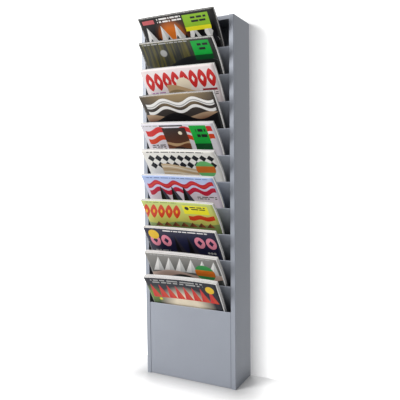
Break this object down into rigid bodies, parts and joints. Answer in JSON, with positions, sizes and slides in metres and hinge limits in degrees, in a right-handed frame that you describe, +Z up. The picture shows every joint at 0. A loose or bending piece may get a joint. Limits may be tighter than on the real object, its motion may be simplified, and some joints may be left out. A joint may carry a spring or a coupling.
{
  "type": "periodical display rack",
  "caption": "Tall shallow sheet-steel rack: a column of sloping pockets with hemmed lips, each with a magazine whose top leans out, above a plain kick panel.",
  "frame": {"origin": "centre of the underside of the base pan", "axes": "+X to the viewer's right, +Y towards the wall, +Z up; the pockets face -Y"},
  "size_m": [0.26, 0.1611, 0.921],
  "materials": {
    "rack_paint": "semi-gloss silver-grey enamel",
    "page_paper": "trimmed page edges, uncoated",
    "cover_01": null,
    "cover_02": null,
    "cover_03": null,
    "cover_04": null,
    "cover_05": null,
    "cover_06": null,
    "cover_07": null,
    "cover_08": null,
    "cover_09": null,
    "cover_10": null,
    "cover_11": null
  },
  "bodies": {
    "rack": {"left_side": "rack_paint", "right_side": "rack_paint", "back_panel": "rack_paint", "top_cap": "rack_paint", "base_pan": "rack_paint", "kick_panel": "rack_paint", "pocket_plate_01": "rack_paint", "pocket_plate_02": "rack_paint", "pocket_plate_03": "rack_paint", "pocket_plate_04": "rack_paint", "pocket_plate_05": "rack_paint", "pocket_plate_06": "rack_paint", "pocket_plate_07": "rack_paint", "pocket_plate_08": "rack_paint", "pocket_plate_09": "rack_paint", "pocket_plate_10": "rack_paint"},
    "magazine_01": {"magazine_cover_01": "cover_01", "magazine_pages_01": "page_paper"},
    "magazine_02": {"magazine_cover_02": "cover_02", "magazine_pages_02": "page_paper"},
    "magazine_03": {"magazine_cover_03": "cover_03", "magazine_pages_03": "page_paper"},
    "magazine_04": {"magazine_cover_04": "cover_04", "magazine_pages_04": "page_paper"},
    "magazine_05": {"magazine_cover_05": "cover_05", "magazine_pages_05": "page_paper"},
    "magazine_06": {"magazine_cover_06": "cover_06", "magazine_pages_06": "page_paper"},
    "magazine_07": {"magazine_cover_07": "cover_07", "magazine_pages_07": "page_paper"},
    "magazine_08": {"magazine_cover_08": "cover_08", "magazine_pages_08": "page_paper"},
    "magazine_09": {"magazine_cover_09": "cover_09", "magazine_pages_09": "page_paper"},
    "magazine_10": {"magazine_cover_10": "cover_10", "magazine_pages_10": "page_paper"},
    "magazine_11": {"magazine_cover_11": "cover_11", "magazine_pages_11": "page_paper"}
  },
  "joints": [
    {"name": "magazine_01_lift", "type": "slide", "parent": "rack", "child": "magazine_01", "axis": [0, -0.515, 0.8572], "range_m": [0, 0.19]},
    {"name": "magazine_02_lift", "type": "slide", "parent": "rack", "child": "magazine_02", "axis": [0, -0.515, 0.8572], "range_m": [0, 0.19]},
    {"name": "magazine_03_lift", "type": "slide", "parent": "rack", "child": "magazine_03", "axis": [0, -0.515, 0.8572], "range_m": [0, 0.19]},
    {"name": "magazine_04_lift", "type": "slide", "parent": "rack", "child": "magazine_04", "axis": [0, -0.515, 0.8572], "range_m": [0, 0.19]},
    {"name": "magazine_05_lift", "type": "slide", "parent": "rack", "child": "magazine_05", "axis": [0, -0.515, 0.8572], "range_m": [0, 0.19]},
    {"name": "magazine_06_lift", "type": "slide", "parent": "rack", "child": "magazine_06", "axis": [0, -0.515, 0.8572], "range_m": [0, 0.19]},
    {"name": "magazine_07_lift", "type": "slide", "parent": "rack", "child": "magazine_07", "axis": [0, -0.515, 0.8572], "range_m": [0, 0.19]},
    {"name": "magazine_08_lift", "type": "slide", "parent": "rack", "child": "magazine_08", "axis": [0, -0.515, 0.8572], "range_m": [0, 0.19]},
    {"name": "magazine_09_lift", "type": "slide", "parent": "rack", "child": "magazine_09", "axis": [0, -0.515, 0.8572], "range_m": [0, 0.19]},
    {"name": "magazine_10_lift", "type": "slide", "parent": "rack", "child": "magazine_10", "axis": [0, -0.515, 0.8572], "range_m": [0, 0.19]},
    {"name": "magazine_11_lift", "type": "slide", "parent": "rack", "child": "magazine_11", "axis": [0, -0.515, 0.8572], "range_m": [0, 0.19]}
  ]
}
